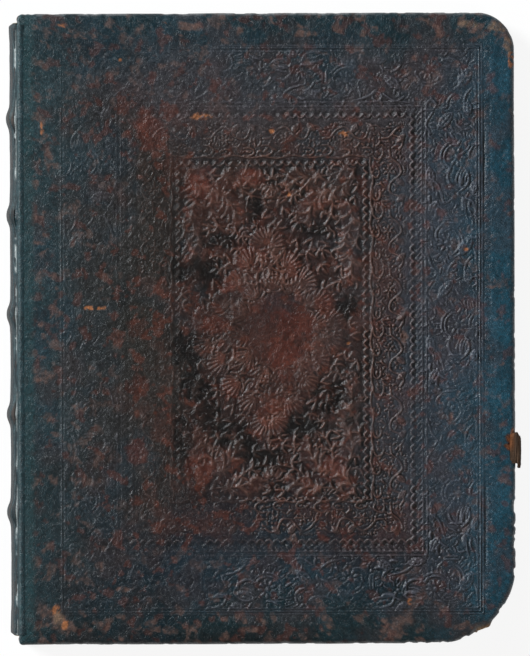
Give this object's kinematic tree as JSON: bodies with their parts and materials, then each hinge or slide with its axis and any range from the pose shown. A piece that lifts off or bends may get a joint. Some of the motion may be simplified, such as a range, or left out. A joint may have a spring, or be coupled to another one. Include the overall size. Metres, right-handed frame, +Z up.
{
  "type": "antique leather book",
  "caption": "Old book in blind-tooled leather over wooden boards, with raised bands on the spine, hinged covers and the torn stub of a clasp strap.",
  "frame": {"origin": "middle of the part's box at its underside, the outer face of the back cover", "axes": "+Z up through the shut book to the front cover, +Y the head of the book, +X the fore edge, -X the spine"},
  "size_m": [0.1876, 0.23, 0.051],
  "materials": {
    "cover_leather": "worn satin",
    "strap_leather": "torn, matt",
    "board_wood": "planed, unfinished",
    "peg_wood": "split, unfinished",
    "pastedown_paper": "aged rag paper",
    "leaves": "aged rag paper edges",
    "lining_paper": "glued paper",
    "tawed_skin": "tawed, matt",
    "endband_thread": "wound thread"
  },
  "bodies": {
    "text_block": {"spine_leather": "cover_leather", "text_block": "leaves", "head_endband": "endband_thread", "tail_endband": "endband_thread", "sewing_cord_1": "tawed_skin", "sewing_cord_2": "tawed_skin", "sewing_cord_3": "tawed_skin", "sewing_cord_4": "tawed_skin", "sewing_cord_5": "tawed_skin", "spine_lining_1": "lining_paper", "spine_lining_2": "lining_paper", "spine_lining_3": "lining_paper", "spine_lining_4": "lining_paper", "spine_lining_5": "lining_paper", "spine_lining_6": "lining_paper"},
    "front_cover": {"front_board": "board_wood", "front_cover_leather": "cover_leather", "front_pastedown": "pastedown_paper", "front_board_pegs": "peg_wood", "clasp_strap_stub": "strap_leather", "front_cord_slip_1": "tawed_skin", "front_cord_slip_2": "tawed_skin", "front_cord_slip_3": "tawed_skin", "front_cord_slip_4": "tawed_skin", "front_cord_slip_5": "tawed_skin"},
    "back_cover": {"back_board": "board_wood", "back_cover_leather": "cover_leather", "back_pastedown": "pastedown_paper", "back_board_pegs": "peg_wood", "back_cord_slip_1": "tawed_skin", "back_cord_slip_2": "tawed_skin", "back_cord_slip_3": "tawed_skin", "back_cord_slip_4": "tawed_skin", "back_cord_slip_5": "tawed_skin"}
  },
  "joints": [
    {"name": "front_cover_hinge", "type": "hinge", "parent": "text_block", "child": "front_cover", "pos_m": [-0.08967, 0, 0.051], "axis": [0, -1, 0], "range_deg": [0, 180]},
    {"name": "back_cover_hinge", "type": "hinge", "parent": "text_block", "child": "back_cover", "pos_m": [-0.08967, 0, 0], "axis": [0, 1, 0], "range_deg": [0, 180]}
  ]
}
